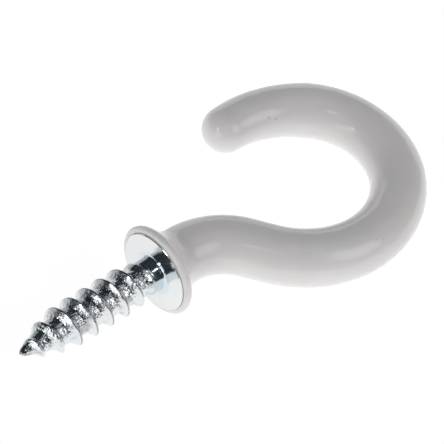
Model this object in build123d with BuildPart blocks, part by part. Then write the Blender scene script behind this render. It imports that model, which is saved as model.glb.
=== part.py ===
"""Screw hook: a zinc-plated steel cup hook with a collar, and a white plastic coat dipped onto its bent wire.

The collar's bare seat face is the plane X = 0. The screw points along -X, the hook lies level in the XY plane,
and the hook's tip is on the +Y side. Sizes are in millimetres and angles in degrees.
"""

import os
from math import atan2, degrees, radians, tan

from build123d import *

# Steel: screw, shank and collar
screw_length = 13.6
shank_diameter = 3.0
plain_shank_length = 1.0
shank_step_length = 0.25
collar_diameter = 7.0
collar_thickness = 0.6
collar_edge_chamfer = 0.12
seat_fillet = 0.25

# Steel: right-hand wood-screw thread with a gimlet point
thread_diameter = 3.8
thread_root_diameter = 2.7
thread_pitch = 1.6
thread_crest_width = 0.12
thread_flank_angle = 33.0
thread_sunk_depth = 0.12
point_length = 4.3
point_tip_diameter = 0.4
point_bulge = 0.2
point_ridge_length = 3.6
point_ridge_end_diameter = 0.9
point_ridge_end_share = 0.5

# Bends of the wire's centreline, in order from the collar to the tip
wire_diameter = 3.0
neck_length = 1.1
neck_bend_radius = 6.4
neck_bend_angle = 53.7
shoulder_length = 1.7
bowl_radius = 9.9
bowl_angle = 92.8
crown_radius = 7.5
crown_angle = 104.0
tip_bend_radius = 11.6
tip_bend_angle = 40.0

# Plastic coat
coat_thickness = 1.0
tip_coat_thickness = 0.62
rim_coat_thickness = 0.55
collar_back_coat_thickness = 0.35
rim_front_round_share = 0.33
rim_back_round_share = 0.62
neck_fillet_share = 0.95

# Radii and places that follow from the sizes above
shank_radius = shank_diameter / 2
collar_radius = collar_diameter / 2
crest_radius = thread_diameter / 2
root_radius = thread_root_diameter / 2
tip_radius = point_tip_diameter / 2
wire_radius = wire_diameter / 2
tube_radius = wire_radius + coat_thickness
tube_tip_radius = wire_radius + tip_coat_thickness
point_start = screw_length - point_length
thread_end = plain_shank_length + shank_step_length
ridge_height = crest_radius - root_radius
full_turns = int((point_start - thread_end) / thread_pitch) - 1
full_thread_length = full_turns * thread_pitch
fade_start = point_start - full_thread_length
fade_length = fade_start - thread_end
cap_back = collar_thickness + collar_back_coat_thickness
coat_front = collar_edge_chamfer
cap_depth = cap_back - coat_front
rim_radius = collar_radius + rim_coat_thickness
rim_front_round = rim_front_round_share * cap_depth
rim_back_round = rim_back_round_share * cap_depth
neck_fillet = neck_fillet_share * (rim_radius - rim_back_round - tube_radius)
neck_end = cap_back + neck_fillet + neck_length


def ridge_section(place, size_share):
    """Thread ridge in section, on the plane through the screw's axis and a point of the helix."""
    outward = Vector(0, place.Y, place.Z).normalized()
    crest_half = thread_crest_width / 2 * size_share
    crest_height = ridge_height * size_share
    base_half = crest_half + (crest_height + thread_sunk_depth) * tan(radians(thread_flank_angle))
    section_plane = Plane(origin=place, x_dir=(1, 0, 0), z_dir=Vector(1, 0, 0).cross(outward))
    with BuildSketch(section_plane) as section:
        with BuildLine():
            Polyline(
                (-base_half, -thread_sunk_depth),
                (base_half, -thread_sunk_depth),
                (crest_half, crest_height),
                (-crest_half, crest_height),
                close=True,
            )
        make_face()
    return section.sketch


def thread_ridge(start_x, length, direction, end_radius, end_share):
    """Stretch of thread ridge along a helix that starts on the root cylinder and ends at a radius of its own."""
    with BuildPart() as ridge:
        with BuildLine() as helix:
            Helix(
                thread_pitch,
                length,
                root_radius,
                center=(start_x, 0, 0),
                direction=direction,
                cone_angle=degrees(atan2(end_radius - root_radius, length)),
            )
        first_section = ridge_section(helix.line @ 0, 1)
        last_section = ridge_section(helix.line @ 1, end_share)
        sweep([first_section, last_section], path=helix.line, multisection=True, is_frenet=True)
    return ridge.part


def square_plane(run, place_share):
    """Plane square to a run of the centreline, at a share of its length."""
    return Plane(origin=run @ place_share, x_dir=(0, 0, 1), z_dir=run % place_share)


def bend_tube(bend, radius, turn):
    """Tube along one bend: a circle turned about the bend's centre, to the left (1) or to the right (-1)."""
    with BuildPart() as tube:
        with BuildSketch(square_plane(bend, 0)):
            Circle(radius)
        revolve(axis=Axis(bend.arc_center, (0, 0, turn)), revolution_arc=degrees(bend.length / bend.radius))
    return tube.part


def bent_run(radius):
    """Tube of one radius along the centreline, from the end of the neck to the start of the tip bend."""
    with BuildPart() as run:
        add(bend_tube(neck_bend, radius, -1))
        with BuildSketch(square_plane(shoulder, 0)):
            Circle(radius)
        extrude(amount=shoulder_length)
        add(bend_tube(bowl, radius, 1))
        add(bend_tube(crown, radius, 1))
    return run.part


def round_end(end_plane, radius):
    """Half ball that closes a wire or tube whose end lies on a plane."""
    with BuildPart() as ball:
        with BuildSketch(Plane(origin=end_plane.origin, x_dir=end_plane.z_dir, z_dir=end_plane.x_dir)):
            with BuildLine():
                axis_line = Line((0, 0), (radius, 0))
                dome = CenterArc((0, 0), radius, 0, 90)
                Line(dome @ 1, axis_line @ 0)
            make_face()
        revolve(axis=Axis(end_plane.origin, end_plane.z_dir))
    return ball.part


# Centreline of the bent wire past its straight neck: a bend aside, then the bowl that comes round to the tip
with BuildLine(Plane.XY) as hook_line:
    neck_bend = JernArc((neck_end, 0), (1, 0), neck_bend_radius, -neck_bend_angle)
    shoulder = PolarLine(neck_bend @ 1, shoulder_length, direction=neck_bend % 1)
    bowl = JernArc(shoulder @ 1, shoulder % 1, bowl_radius, bowl_angle)
    crown = JernArc(bowl @ 1, bowl % 1, crown_radius, crown_angle)
    tip_bend = JernArc(crown @ 1, crown % 1, tip_bend_radius, tip_bend_angle)
tip_plane = square_plane(tip_bend, 1)

# Collar with its bent wire, ending in a rounded tip
with BuildPart() as bent_wire:
    with BuildSketch(Plane.YZ):
        Circle(collar_radius)
    extrude(amount=collar_thickness)
    chamfer(bent_wire.edges().sort_by(Axis.X)[0], collar_edge_chamfer)
    with BuildSketch(Plane.YZ.offset(collar_thickness)):
        Circle(wire_radius)
    extrude(amount=neck_end - collar_thickness)
    add(bent_run(wire_radius))
    add(bend_tube(tip_bend, wire_radius, 1))
    add(round_end(tip_plane, wire_radius))

# Steel hook: the screw grows out of the seat face, and its thread fades out before the plain shank
with BuildPart() as steel_hook:
    add(bent_wire.part)
    with BuildSketch(Plane.XY):
        with BuildLine():
            root_line = Line((-point_start, root_radius), (-thread_end, root_radius))
            shank_line = Line((-plain_shank_length, shank_radius), (-seat_fillet, shank_radius))
            Line(root_line @ 1, shank_line @ 0)
            seat_curve = RadiusArc(shank_line @ 1, (0, shank_radius + seat_fillet), -seat_fillet)
            Polyline(seat_curve @ 1, (0, 0), (-point_start, 0), root_line @ 0)
        make_face()
    revolve(axis=Axis.X)
    for place, radius in (
        (screw_length, tip_radius),
        ((screw_length + point_start) / 2, (tip_radius + root_radius) / 2 + point_bulge),
        (point_start, root_radius),
    ):
        with BuildSketch(Plane.YZ.offset(-place)):
            Circle(radius)
    loft()
    add(thread_ridge(-point_start, full_thread_length, (1, 0, 0), root_radius, 1))
    sunk_radius = root_radius - ridge_height - thread_sunk_depth
    add(thread_ridge(-fade_start, fade_length, (1, 0, 0), sunk_radius, 1))
    point_ridge = thread_ridge(
        -point_start, point_ridge_length, (-1, 0, 0), point_ridge_end_diameter / 2, point_ridge_end_share
    )
    add(point_ridge, rotation=(180, 0, 0))
steel_hook.part.label = "steel_hook"

# Plastic coat: a cap over the collar's rim, back and neck, and a tube along the wire that slims to a round tip
with BuildPart() as plastic_coat:
    with BuildSketch(Plane.XY):
        with BuildLine():
            FilletPolyline(
                (coat_front, 0),
                (coat_front, rim_radius),
                (cap_back, rim_radius),
                (cap_back, tube_radius),
                (neck_end, tube_radius),
                (neck_end, 0),
                radius=(0, rim_front_round, rim_back_round, neck_fillet, 0, 0),
                close=True,
            )
        make_face()
    revolve(axis=Axis.X)
    add(bent_run(tube_radius))
    with BuildSketch(square_plane(tip_bend, 0)) as tube_end:
        Circle(tube_radius)
    with BuildSketch(tip_plane) as tube_tip:
        Circle(tube_tip_radius)
    sweep([tube_end.sketch, tube_tip.sketch], path=tip_bend, multisection=True)
    add(round_end(tip_plane, tube_tip_radius))
    add(bent_wire.part, mode=Mode.SUBTRACT)
plastic_coat.part.label = "plastic_coat"

os.makedirs("parts", exist_ok=True)
export_step(steel_hook.part, "parts/steel_hook.step")
export_step(plastic_coat.part, "parts/plastic_coat.step")
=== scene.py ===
"""Screw hook: a bent steel wire with a collar and a rolled wood-screw thread, dipped in white plastic.

The collar's seat face is the plane X = 0, the screw points along -X and the hook lies level in the XY plane.
"""

from math import ceil, cos, hypot, pi, radians, sin, sqrt, tan

import bmesh
import bpy
from mathutils import Matrix, Vector


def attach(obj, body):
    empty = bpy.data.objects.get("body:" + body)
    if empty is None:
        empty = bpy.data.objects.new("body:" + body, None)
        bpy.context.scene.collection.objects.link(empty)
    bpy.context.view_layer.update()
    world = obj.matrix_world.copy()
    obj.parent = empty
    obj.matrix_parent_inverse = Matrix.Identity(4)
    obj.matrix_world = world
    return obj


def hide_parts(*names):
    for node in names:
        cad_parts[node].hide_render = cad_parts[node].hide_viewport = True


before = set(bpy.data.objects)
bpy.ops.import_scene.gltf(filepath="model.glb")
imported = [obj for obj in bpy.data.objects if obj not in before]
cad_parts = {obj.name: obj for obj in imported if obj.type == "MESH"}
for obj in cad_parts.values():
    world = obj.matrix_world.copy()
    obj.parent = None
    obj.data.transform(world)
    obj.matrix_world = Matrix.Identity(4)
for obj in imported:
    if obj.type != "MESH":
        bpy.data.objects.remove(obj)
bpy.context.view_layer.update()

mm = 0.001
weld_distance = 0.002 * mm


def draw_outline(name, corners):
    """New piece in edit mode: one line of edges through corners given as a place along X and a radius."""
    bpy.ops.object.select_all(action="DESELECT")
    bpy.ops.mesh.primitive_circle_add(vertices=3, radius=mm, fill_type="NOTHING")
    piece = bpy.context.object
    piece.name = name
    piece.data.name = name
    bpy.ops.object.mode_set(mode="EDIT")
    bpy.ops.mesh.merge(type="CENTER")
    bpy.ops.transform.translate(value=(*corners[0], 0))
    for (x, radius), (next_x, next_radius) in zip(corners, corners[1:]):
        step = (next_x - x, next_radius - radius, 0)
        bpy.ops.mesh.extrude_vertices_move(TRANSFORM_OT_translate={"value": step})
    return piece


def select_points(piece, wanted):
    """Selects the points of the piece in edit mode whose place meets a test, and nothing else."""
    bpy.ops.mesh.select_mode(type="VERT")
    bpy.ops.mesh.select_all(action="DESELECT")
    mesh = bmesh.from_edit_mesh(piece.data)
    for point in mesh.verts:
        point.select = wanted(point.co)
    mesh.select_flush_mode()
    bmesh.update_edit_mesh(piece.data)


def round_corner(piece, corner, radius, segments):
    """Rounds one corner of a drawn outline."""
    place = Vector((*corner, 0))
    select_points(piece, lambda point: (point - place).length < weld_distance)
    bpy.ops.mesh.bevel(offset=radius, segments=segments, affect="VERTICES")


# The thread's profile: a sharp ridge that leans towards the seat, drawn once and screwed along the axis
screw_length = 13.6 * mm
crest_radius = 1.9 * mm
root_radius = 1.35 * mm
ridge_height = crest_radius - root_radius
thread_pitch = 1.6 * mm
thread_turns = 10
thread_sides = 72
crest_width = 0.09 * mm
tip_flank_angle = radians(42)
seat_flank_angle = radians(30)
foot_round = 0.12 * mm
foot_segments = 4
crest_round = 0.025 * mm
crest_segments = 2
flank_cuts = 2
last_crest_x = -1.73 * mm
turns_to_last_crest = 8
crest_x = last_crest_x - turns_to_last_crest * thread_pitch
valley_x = crest_x - thread_pitch / 2
tip_flank = crest_width / 2 + ridge_height * tan(tip_flank_angle)
seat_flank = crest_width / 2 + ridge_height * tan(seat_flank_angle)
feet = ((crest_x - tip_flank, root_radius), (crest_x + seat_flank, root_radius))
crests = ((crest_x - crest_width / 2, crest_radius), (crest_x + crest_width / 2, crest_radius))
steel_hook = draw_outline(
    "zinc_steel_hook",
    [(valley_x, root_radius), feet[0], *crests, feet[1], (valley_x + thread_pitch, root_radius)],
)
for foot in feet:
    round_corner(steel_hook, foot, foot_round, foot_segments)
for crest in crests:
    round_corner(steel_hook, crest, crest_round, crest_segments)
bpy.ops.mesh.select_all(action="SELECT")
bpy.ops.mesh.subdivide(number_cuts=flank_cuts)
bpy.ops.object.mode_set(mode="OBJECT")
screw = steel_hook.modifiers.new("rolled thread", "SCREW")
screw.axis = "X"
screw.angle = 2 * pi
screw.screw_offset = thread_pitch
screw.iterations = thread_turns
screw.steps = thread_sides
screw.render_steps = thread_sides
bpy.ops.object.modifier_apply(modifier=screw.name)

# Cut to length: closed at the tip, open at the seat's fillet
seat_fillet = 0.25 * mm
cut_tolerance = 0.00002 * mm
bpy.ops.object.mode_set(mode="EDIT")
bpy.ops.mesh.select_all(action="SELECT")
bpy.ops.mesh.remove_doubles(threshold=weld_distance)
for end_x, outwards, closed in ((-screw_length, -1, True), (-seat_fillet, 1, False)):
    bpy.ops.mesh.select_all(action="SELECT")
    bpy.ops.mesh.bisect(
        plane_co=(end_x, 0, 0),
        plane_no=(outwards, 0, 0),
        clear_outer=True,
        use_fill=closed,
        threshold=cut_tolerance,
    )
bpy.ops.object.mode_set(mode="OBJECT")

# Drawn to a bulged gimlet point, where the ridge dies out, and faded into the plain shank at the seat
shank_radius = 1.5 * mm
plain_shank_length = 1.0 * mm
shank_step_length = 0.25 * mm
thread_fade_start = 0.35 * mm
thread_fade_length = 2.4 * mm
point_length = 4.3 * mm
point_bulge = 0.2 * mm
point_tip_radius = 0.2 * mm
tip_rounding_length = 0.25 * mm
tip_flat_share = 0.2
point_ridge_share = 0.72
point_ridge_first = 0.14
point_ridge_whole = 0.34
point_ridge_grows_from = 0.5


def ease(share):
    """Rises smoothly from 0 to 1 as the share does, and stays there outside that."""
    share = min(max(share, 0), 1)
    return share * share * (3 - 2 * share)


def point_radius(to_tip, ridge):
    """Radius of the gimlet point at a distance from the tip, where the straight thread has a ridge."""
    share = to_tip / point_length
    cone = point_tip_radius + (root_radius - point_tip_radius) * share
    core = cone + 4 * point_bulge * share * (1 - share)
    rounding = min(max(to_tip / tip_rounding_length, 0), 1)
    core *= max(sqrt(rounding * (2 - rounding)), tip_flat_share)
    rise = ease((share - point_ridge_first) / (point_ridge_whole - point_ridge_first))
    growth = ease((share - point_ridge_grows_from) / (1 - point_ridge_grows_from))
    return core + ridge * rise * (point_ridge_share + (1 - point_ridge_share) * growth)


def shank_end_radius(depth, ridge):
    """Radius of the thread and plain shank at a depth below the seat."""
    step = ease((depth - plain_shank_length) / shank_step_length)
    core = shank_radius + (root_radius - shank_radius) * step
    fade = min(max((depth - thread_fade_start) / thread_fade_length, 0), 1)
    return max(core, root_radius + ridge * fade)


for point in steel_hook.data.vertices:
    depth = -point.co.x
    radius = hypot(point.co.y, point.co.z)
    ridge = radius - root_radius
    to_tip = screw_length - depth
    new_radius = point_radius(to_tip, ridge) if to_tip < point_length else shank_end_radius(depth, ridge)
    point.co.y *= new_radius / radius
    point.co.z *= new_radius / radius

# Collar and neck: rings drawn out of the shank's open end
collar_radius = 3.5 * mm
collar_thickness = 0.6 * mm
collar_edge_chamfer = 0.05 * mm
wire_radius = 1.5 * mm
neck_end = 3.034 * mm
fillet_steps = 5
crowded_point_distance = 0.03 * mm


def next_ring(step, growth, centre):
    """Draws the selected ring out by a step, then grows the new ring about its centre."""
    bpy.ops.mesh.extrude_region_move(TRANSFORM_OT_translate={"value": step})
    bpy.ops.transform.resize(value=(growth, growth, growth), center_override=centre)


bpy.ops.object.mode_set(mode="EDIT")
select_points(steel_hook, lambda point: abs(point.x + seat_fillet) < weld_distance)
bpy.ops.mesh.remove_doubles(threshold=crowded_point_distance)
fillet_angles = [radians(90 * n / fillet_steps) for n in range(1, fillet_steps + 1)]
rings = [
    (-seat_fillet * (1 - sin(angle)), shank_radius + seat_fillet * (1 - cos(angle)))
    for angle in fillet_angles
]
rings += [
    (0, collar_radius - collar_edge_chamfer),
    (collar_edge_chamfer, collar_radius),
    (collar_thickness, collar_radius),
    (collar_thickness, wire_radius),
    (neck_end, wire_radius),
]
ring_x, ring_radius = -seat_fillet, shank_radius
for next_x, next_radius in rings:
    next_ring((next_x - ring_x, 0, 0), next_radius / ring_radius, (next_x, 0, 0))
    ring_x, ring_radius = next_x, next_radius

# Bent round the hook's line: aside at the neck, then back round the bowl, the crown and the tip
neck_bend_radius, neck_bend_angle = 6.4 * mm, radians(-53.7)
shoulder_length = 1.7 * mm
bowl_radius, bowl_angle = 9.9 * mm, radians(92.8)
crown_radius, crown_angle = 7.5 * mm, radians(104)
tip_bend_radius, tip_bend_angle = 11.6 * mm, radians(40)
wire_steps_per_turn = 40
round_end_steps = 14
smallest_growth = 0.001
steel_smooth_angle = radians(40)


def turn_ring(angle, centre):
    """Bends the selected ring round a centre in the hook's plane, to the left by a positive angle."""
    bpy.ops.mesh.spin(steps=1, angle=-angle, center=centre, axis=(0, 0, 1))


def run_round_hook(radius, end_radius, steps_per_turn):
    """Takes the selected ring from the neck round the bends, slims it over the last and rounds its end."""
    place = Vector((neck_end, 0, 0))
    heading = Vector((1, 0, 0))
    bends = (
        (neck_bend_radius, neck_bend_angle, shoulder_length, radius),
        (bowl_radius, bowl_angle, 0, radius),
        (crown_radius, crown_angle, 0, radius),
        (tip_bend_radius, tip_bend_angle, 0, end_radius),
    )
    for bend_radius, angle, straight, slim_radius in bends:
        side = Vector((-heading.y, heading.x, 0)) * (1 if angle > 0 else -1)
        centre = place + side * bend_radius
        steps = ceil(steps_per_turn * abs(angle) / (2 * pi))
        ring_radius = radius
        for step in range(steps):
            turn_ring(angle / steps, centre)
            place = centre + Matrix.Rotation(angle / steps, 3, "Z") @ (place - centre)
            slimmer = radius + (slim_radius - radius) * (step + 1) / steps
            bpy.ops.transform.resize(value=(slimmer / ring_radius,) * 3, center_override=place)
            ring_radius = slimmer
        heading = Matrix.Rotation(angle, 3, "Z") @ heading
        if straight:
            bpy.ops.mesh.extrude_region_move(TRANSFORM_OT_translate={"value": heading * straight})
            place = place + heading * straight
    for step in range(round_end_steps):
        low, high = (radians(90 * n / round_end_steps) for n in (step, step + 1))
        rise = heading * end_radius * (sin(high) - sin(low))
        place = place + rise
        next_ring(rise, max(cos(high), smallest_growth) / cos(low), place)
    bpy.ops.mesh.merge(type="CENTER")


def close_piece(piece, smooth_angle):
    """Welds the piece's seams, turns its faces outwards and smooths all but its sharp edges."""
    bpy.ops.mesh.select_all(action="SELECT")
    bpy.ops.mesh.remove_doubles(threshold=weld_distance)
    bpy.ops.mesh.normals_make_consistent(inside=False)
    bpy.ops.object.mode_set(mode="OBJECT")
    bpy.ops.object.shade_smooth_by_angle(angle=smooth_angle)


run_round_hook(wire_radius, wire_radius, wire_steps_per_turn)
close_piece(steel_hook, steel_smooth_angle)


class Shade:
    """A socket of one finish's nodes. Arithmetic on it adds Math nodes, and node() adds any other node."""

    def __init__(self, tree, socket=None):
        self.tree = tree
        self.socket = socket

    def node(self, kind, settings, inputs, output=0):
        """Adds a node, makes its settings, fills or links its inputs and gives one of its outputs."""
        made = self.tree.nodes.new(kind)
        for setting, value in settings.items():
            setattr(made, setting, value)
        for name, value in inputs.items():
            if isinstance(value, Shade):
                self.tree.links.new(value.socket, made.inputs[name])
            else:
                made.inputs[name].default_value = value
        return Shade(self.tree, made.outputs[output])

    def maths(self, operation, first, second=0.0):
        """Adds a Math node."""
        return self.node("ShaderNodeMath", {"operation": operation}, {0: first, 1: second})

    def __add__(self, other):
        return self.maths("ADD", self, other)

    def __radd__(self, other):
        return self.maths("ADD", other, self)

    def __sub__(self, other):
        return self.maths("SUBTRACT", self, other)

    def __rsub__(self, other):
        return self.maths("SUBTRACT", other, self)

    def __mul__(self, other):
        return self.maths("MULTIPLY", self, other)

    def __rmul__(self, other):
        return self.maths("MULTIPLY", other, self)

    def step_between(self, low, high):
        """Rises smoothly from 0 to 1 as the value goes from low to high."""
        settings = {"interpolation_type": "SMOOTHSTEP"}
        return self.node("ShaderNodeMapRange", settings, {0: self, 1: low, 2: high})

    def grain(self, place, per_metre, detail=2.0):
        """Cloudy noise from about 0.2 to 0.8 with a number of grains to the metre."""
        return self.node("ShaderNodeTexNoise", {}, {"Vector": place, "Scale": per_metre, "Detail": detail})

    def blend(self, share, first, second):
        """Colour that goes from the first to the second as the share rises."""
        return self.node("ShaderNodeMix", {"data_type": "RGBA"}, {0: share, 6: first, 7: second}, 2)

    def relief(self, height, depth):
        """Dents and bumps in a surface, where a height of 1 stands a depth above a height of 0."""
        return self.node("ShaderNodeBump", {}, {"Strength": 1.0, "Distance": depth, "Height": height})

    def mix_shader(self, share, first, second):
        """Surface that goes from the first to the second as the share rises."""
        return self.node("ShaderNodeMixShader", {}, {0: share, 1: first, 2: second})

    def glow(self, strength, colour=(1, 1, 1, 1)):
        """Surface that shines with a strength, in white or in another colour."""
        return self.node("ShaderNodeEmission", {}, {"Color": colour, "Strength": strength})

    def show(self):
        """Makes this surface the one that the material shows."""
        self.tree.links.new(self.socket, self.tree.nodes["Material Output"].inputs["Surface"])


def new_finish(piece, name):
    """Gives a piece an empty material with a principled surface, and returns its nodes and that surface."""
    material = bpy.data.materials.new(name)
    material.use_nodes = True
    piece.data.materials.clear()
    piece.data.materials.append(material)
    surface = material.node_tree.nodes["Principled BSDF"]
    return Shade(material.node_tree), surface


def dress(surface, colour, roughness, relief):
    """Gives a principled surface its colour, roughness and relief."""
    for socket, value in (("Base Color", colour), ("Roughness", roughness), ("Normal", relief)):
        value.tree.links.new(value.socket, surface.inputs[socket])


# Bright zinc plate: smooth on the collar, bluer on the shank, dented and pitted by rolling in the thread's
# valleys, satin on its flanks, worn dull along its crests, and dulled at the tip
zinc_pale = (0.8, 0.815, 0.82, 1)
zinc_blue = (0.68, 0.75, 0.8, 1)
zinc_dull = (0.22, 0.23, 0.25, 1)
zinc_clouds_per_metre = 260
rolled_dents_per_metre = 1100
pits_per_metre = 4200
zinc, zinc_surface = new_finish(steel_hook, "bright zinc plate")
place = zinc.node("ShaderNodeTexCoord", {}, {}, "Object")
along = zinc.node("ShaderNodeSeparateXYZ", {}, {0: place}, "X")
across = zinc.node("ShaderNodeSeparateXYZ", {}, {0: place}, "Y")
up = zinc.node("ShaderNodeSeparateXYZ", {}, {0: place}, "Z")
from_axis = zinc.maths("SQRT", across * across + up * up)
cloud = zinc.grain(place, zinc_clouds_per_metre)
rolled = zinc.grain(place, rolled_dents_per_metre)
pits = zinc.grain(place, pits_per_metre)

# Zones of the plate, each fading over a stretch along the screw or outwards from its axis
thread_end_zone = (-1.6 * mm, -0.9 * mm)
tip_end_zone = (-13.3 * mm, -12.5 * mm)
near_seat_zone = (-4 * mm, -1.5 * mm)
shank_edge_zone = (shank_radius + seat_fillet, shank_radius + 0.6 * mm)
flank_foot_zone = (root_radius + 0.05 * mm, root_radius + 0.2 * mm)
valley_edge_zone = (root_radius, crest_radius - 0.15 * mm)
crest_edge_zone = (crest_radius - 0.06 * mm, crest_radius - 0.02 * mm)
on_thread = 1 - along.step_between(*thread_end_zone)
on_tip = 1 - along.step_between(*tip_end_zone)
near_seat = along.step_between(*near_seat_zone)
on_shank = 1 - from_axis.step_between(*shank_edge_zone)
on_flank = from_axis.step_between(*flank_foot_zone) * on_thread
in_valley = (1 - from_axis.step_between(*valley_edge_zone)) * on_thread
on_crest = from_axis.step_between(*crest_edge_zone)

# Colour: blue in patches, dulled in patches of grime at the tip and along the worn crests, and darkened in
# the valleys by dirt and painted shade
least_blue = 0.3
blue_patches = (0.3, 0.6)
crest_wear = 0.7
worn_patches = (0.25, 0.5)
# How far the valleys darken: partly dirt, partly painted shade in the recesses
valley_dirt_and_shade = 0.6
valley_dark_patches = (0.45, 0.7)
tip_patches = (0.3, 0.55)
blue_share = on_shank * (least_blue + (1 - least_blue) * near_seat) * cloud.step_between(*blue_patches)
wear = crest_wear * on_crest * on_thread * rolled.step_between(*worn_patches)
# Painted shade: the thread's valleys are darkened in patches, partly as dirt and partly as shade in the
# recesses
valley_dirt_and_painted_shade = valley_dirt_and_shade * in_valley * rolled.step_between(*valley_dark_patches)
grime_and_painted_shade = valley_dirt_and_painted_shade + on_tip * pits.step_between(*tip_patches) + wear
colour = zinc.blend(grime_and_painted_shade, zinc.blend(blue_share, zinc_pale, zinc_blue), zinc_dull)

# Gloss and relief: the roughness that each place adds, and the height of each kind of dent
plate_roughness = 0.11
thread_smoothing = 0.04
cloud_roughness = 0.05
pit_roughness = 0.1
rough_pits = (0.45, 0.7)
flank_roughness = 0.14
dent_depth = 0.11 * mm
thread_dent = 0.9
thread_pit = 0.2
valley_pit = 0.6
plate_dent = 0.02
roughness = plate_roughness - thread_smoothing * on_thread + cloud_roughness * cloud
roughness = roughness + pit_roughness * on_thread * pits.step_between(*rough_pits)
roughness = roughness + flank_roughness * on_flank
pit_height = (thread_pit + valley_pit * in_valley) * pits
height = on_thread * (thread_dent * rolled + pit_height) + plate_dent * rolled
dress(zinc_surface, colour, roughness, zinc.relief(height, dent_depth))
zinc_surface.inputs["Metallic"].default_value = 1.0

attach(steel_hook, "root")
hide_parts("steel_hook")

# Plastic coat
# White vinyl that the heated hook was dipped in. It wraps the collar's rim and back, runs down the wire as
# a thick glossy skin, and thins towards the rounded tip.
coat_front = 0.12 * mm
rim_radius = 4.0 * mm
lip_round = 0.1 * mm
lip_segments = 3
rim_front_round = 0.32 * mm
rim_front_segments = 6
tube_radius = 2.494 * mm
tube_tip_radius = 2.12 * mm
coat_sides = 80
coat_steps_per_turn = 96
coat_smooth_angle = radians(50)

# The cap's back is a trumpet: the rim rolls over into a slope that flares out along the neck
rim_back = Vector((0.45 * mm, rim_radius))
rim_corner = Vector((0.68 * mm, rim_radius))
rim_back_steps = 8
flare_corner = Vector((1.76 * mm, tube_radius))
flare_end = Vector((2.95 * mm, tube_radius))
flare_steps = 12
rim_share_of_slope = 0.22
rim_end = rim_corner.lerp(flare_corner, rim_share_of_slope)


def curve(start, corner, end, steps):
    """Points of a curve that leaves the start towards a corner and comes in to the end from it."""
    shares = [n / steps for n in range(1, steps + 1)]
    return [start.lerp(corner, share).lerp(corner.lerp(end, share), share) for share in shares]


plastic_coat = draw_outline(
    "white_plastic_coat",
    [
        (neck_end, wire_radius),
        (collar_thickness, wire_radius),
        (collar_thickness, collar_radius),
        (coat_front, collar_radius),
        (coat_front, rim_radius),
        rim_back,
        *curve(rim_back, rim_corner, rim_end, rim_back_steps),
        *curve(rim_end, flare_corner, flare_end, flare_steps),
        (neck_end, tube_radius),
    ],
)
round_corner(plastic_coat, (coat_front, collar_radius), lip_round, lip_segments)
round_corner(plastic_coat, (coat_front, rim_radius), rim_front_round, rim_front_segments)
bpy.ops.mesh.select_all(action="SELECT")
bpy.ops.mesh.spin(steps=coat_sides, angle=2 * pi, center=(0, 0, 0), axis=(1, 0, 0), use_auto_merge=True)
bpy.ops.mesh.select_all(action="SELECT")
bpy.ops.mesh.remove_doubles(threshold=weld_distance)
for wall_radius, wall_end_radius in ((tube_radius, tube_tip_radius), (wire_radius, wire_radius)):
    select_points(
        plastic_coat,
        lambda point: abs(point.x - neck_end) < weld_distance
        and abs(hypot(point.y, point.z) - wall_radius) < weld_distance,
    )
    run_round_hook(wall_radius, wall_end_radius, coat_steps_per_turn)
close_piece(plastic_coat, coat_smooth_angle)

# Dipped vinyl: a little cloudy, glossy, with slow sags, a faint peel and a few grey specks of dust
vinyl_white = (0.878, 0.861, 0.856, 1)
vinyl_grey = (0.835, 0.82, 0.815, 1)
speck_grey = (0.6, 0.59, 0.58, 1)
vinyl_clouds_per_metre = 180
sags_per_metre = 420
peel_per_metre = 1700
dust_per_metre = 2600
grey_patches = (0.3, 0.7)
dust_level = (0.87, 0.89)
vinyl_roughness = 0.13
vinyl_cloud_roughness = 0.08
speck_roughness = 0.2
sag_depth = 0.05 * mm
sag_height = 1.7
peel_height = 0.08
speck_height = 0.1
vinyl, vinyl_surface = new_finish(plastic_coat, "white dipped vinyl")
place = vinyl.node("ShaderNodeTexCoord", {}, {}, "Object")
cloud = vinyl.grain(place, vinyl_clouds_per_metre)
sag = vinyl.grain(place, sags_per_metre, 1)
peel = vinyl.grain(place, peel_per_metre, 1)
speck = vinyl.grain(place, dust_per_metre, 0).step_between(*dust_level)
tint = vinyl.blend(cloud.step_between(*grey_patches), vinyl_white, vinyl_grey)
colour = vinyl.blend(speck, tint, speck_grey)
roughness = vinyl_roughness + vinyl_cloud_roughness * cloud + speck_roughness * speck
height = sag_height * sag + peel_height * peel + speck_height * speck
dress(vinyl_surface, colour, roughness, vinyl.relief(height, sag_depth))

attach(plastic_coat, "root")
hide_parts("plastic_coat")

# Table top
# A wide pale light table that the hook lies on, touching it at the rim and at the crown of the bowl. It
# shows white to the camera and in reflections, and keeps a soft shadow.
table_radius = 1.5
table_sides = 96
table_gap = 0.02 * mm
table_normal = Vector((-0.0593, 0.0157, 0.9981)).normalized()
rim_touch = Vector((0.45, -0.15, -4.04)) * mm
table_grey = (0.9, 0.9, 0.9, 1)
table_light = 1.1
table_seen_glow = 1.52
table_seen_share = 0.55

bpy.ops.object.select_all(action="DESELECT")
bpy.ops.mesh.primitive_circle_add(vertices=table_sides, radius=table_radius, fill_type="NGON")
table_top = bpy.context.object
table_top.name = "table_top"
table_top.location = rim_touch - table_normal * table_gap
table_top.rotation_euler = table_normal.to_track_quat("Z", "Y").to_euler()

table, table_surface = new_finish(table_top, "pale table top")
table_surface.inputs["Base Color"].default_value = table_grey
table_surface.inputs["Roughness"].default_value = 1.0
table_surface.inputs["Specular IOR Level"].default_value = 0.0
shaded = Shade(table.tree, table_surface.outputs[0])
seen_straight = table.node("ShaderNodeLightPath", {}, {}, "Is Camera Ray")
seen_mirrored = table.node("ShaderNodeLightPath", {}, {}, "Is Glossy Ray")
seen_through = table.node("ShaderNodeLightPath", {}, {}, "Is Transmission Ray")
seen = table.maths("MINIMUM", seen_straight + seen_mirrored + seen_through, 1.0)
seen_table = table.mix_shader(table_seen_share, shaded, table.glow(table_seen_glow))
table.mix_shader(seen, table.glow(table_light), seen_table).show()

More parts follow.
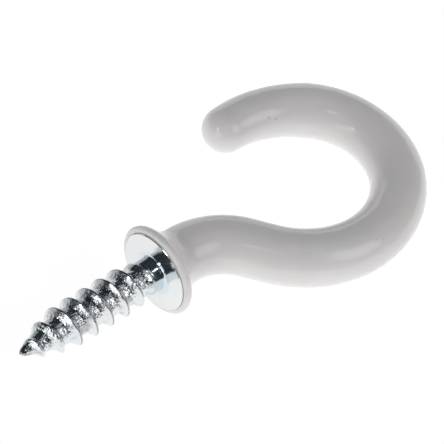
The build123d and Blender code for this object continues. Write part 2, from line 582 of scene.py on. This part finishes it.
# Studio
# White surroundings under a dome of grey cloth, which the steel mirrors as dark slate. A grey card stands
# behind the screw, a white board lights the hook's far edges, and soft lamp boxes give the highlights.
world = bpy.data.worlds.new("white surroundings")
world.use_nodes = True
bpy.context.scene.world = world
background = world.node_tree.nodes["Background"]
background.inputs["Color"].default_value = (1, 1, 1, 1)
background.inputs["Strength"].default_value = 1.0

dome_radius = 0.5
dome_segments = 64
dome_rings = 32
dome_edge_elevation = radians(2)
dome_edge_height = dome_radius * sin(dome_edge_elevation)
dome_light = 0.188
dome_mirrored = 0.036
slate_blue = (0.58, 0.8, 1, 1)
bpy.ops.object.select_all(action="DESELECT")
bpy.ops.mesh.primitive_uv_sphere_add(segments=dome_segments, ring_count=dome_rings, radius=dome_radius)
dome = bpy.context.object
dome.name = "overhead_dome"
bpy.ops.object.mode_set(mode="EDIT")
bpy.ops.mesh.select_all(action="SELECT")
bpy.ops.mesh.bisect(plane_co=(0, 0, dome_edge_height), plane_no=(0, 0, -1), clear_outer=True)
bpy.ops.object.mode_set(mode="OBJECT")
dome.visible_camera = False
cloth, _ = new_finish(dome, "grey dome cloth")
mirrored = cloth.node("ShaderNodeLightPath", {}, {}, "Is Glossy Ray")
cloth.mix_shader(mirrored, cloth.glow(dome_light), cloth.glow(dome_mirrored, slate_blue)).show()


def stand_upright(name, middle, azimuth, width, height):
    """Upright card on the side of the hook that an azimuth points to, not seen by the camera."""
    turn = (radians(90), 0, azimuth - radians(90))
    bpy.ops.object.select_all(action="DESELECT")
    bpy.ops.mesh.primitive_plane_add(size=1, location=middle, rotation=turn)
    upright = bpy.context.object
    upright.name = name
    upright.scale = (width, height, 1)
    upright.visible_camera = False
    return upright


card_middle = Vector((-12, 14, -0.5)) * mm
card_azimuth = radians(90)
card_width = 30 * mm
card_height = 8 * mm
card_glow = 0.55
card = stand_upright("grey_card", card_middle, card_azimuth, card_width, card_height)
card.visible_diffuse = False
card.visible_shadow = False
card_paper, _ = new_finish(card, "grey card")
card_paper.glow(card_glow).show()

board_azimuth = radians(40)
board_distance = 0.3
board_top_elevation = radians(18)
board_width = 0.5
board_height = board_distance * tan(board_top_elevation)
board_middle = (board_distance * cos(board_azimuth), board_distance * sin(board_azimuth), board_height / 2)
board_glow = 1.15
board = stand_upright("white_board", board_middle, board_azimuth, board_width, board_height)
board_paint, _ = new_finish(board, "white board")
board_paint.glow(board_glow).show()


def hang_lamp(name, azimuth, elevation, distance, width, height, brightness):
    """Soft lamp box that faces the hook from a direction in degrees, with the brightness its face shows."""
    face_area = pi / 4 * width * height
    data = bpy.data.lights.new(name, "AREA")
    data.shape = "ELLIPSE"
    data.size = width
    data.size_y = height
    data.energy = brightness * pi * face_area
    lamp = bpy.data.objects.new(name, data)
    level = cos(radians(elevation))
    aim = Vector((level * cos(radians(azimuth)), level * sin(radians(azimuth)), sin(radians(elevation))))
    lamp.location = aim * distance
    lamp.rotation_euler = aim.to_track_quat("Z", "Y").to_euler()
    bpy.context.scene.collection.objects.link(lamp)


hang_lamp("right lamp box", -65, 39, distance=0.3, width=0.165, height=0.19, brightness=2.1)
hang_lamp("low left lamp box", -172, 12, distance=0.35, width=0.225, height=0.16, brightness=1.95)
hang_lamp("back lamp", 173, 31, distance=0.3, width=0.056, height=0.056, brightness=7.0)
hang_lamp("high lamp", -140, 62, distance=0.3, width=0.034, height=0.056, brightness=5.0)
hang_lamp("overhead scrim", -35, 66, distance=0.4, width=0.32, height=0.32, brightness=0.4)

# Camera
# A long lens above the screw's side of the hook, turned so that the screw points down to the left of the
# picture, as in the photograph.
lens_length = 129.73
film_width = 36
nearest_seen = 0.01
camera_place = Vector((-61.619, -50.622, 102.595)) * mm
camera_turn = (radians(39.234), radians(-9.568), radians(-42.205))

camera_data = bpy.data.cameras.new("camera")
camera_data.lens = lens_length
camera_data.sensor_width = film_width
camera_data.clip_start = nearest_seen
camera = bpy.data.objects.new("camera", camera_data)
camera.location = camera_place
camera.rotation_euler = camera_turn
bpy.context.scene.collection.objects.link(camera)
bpy.context.scene.camera = camera
bpy.context.scene.view_settings.view_transform = "Standard"
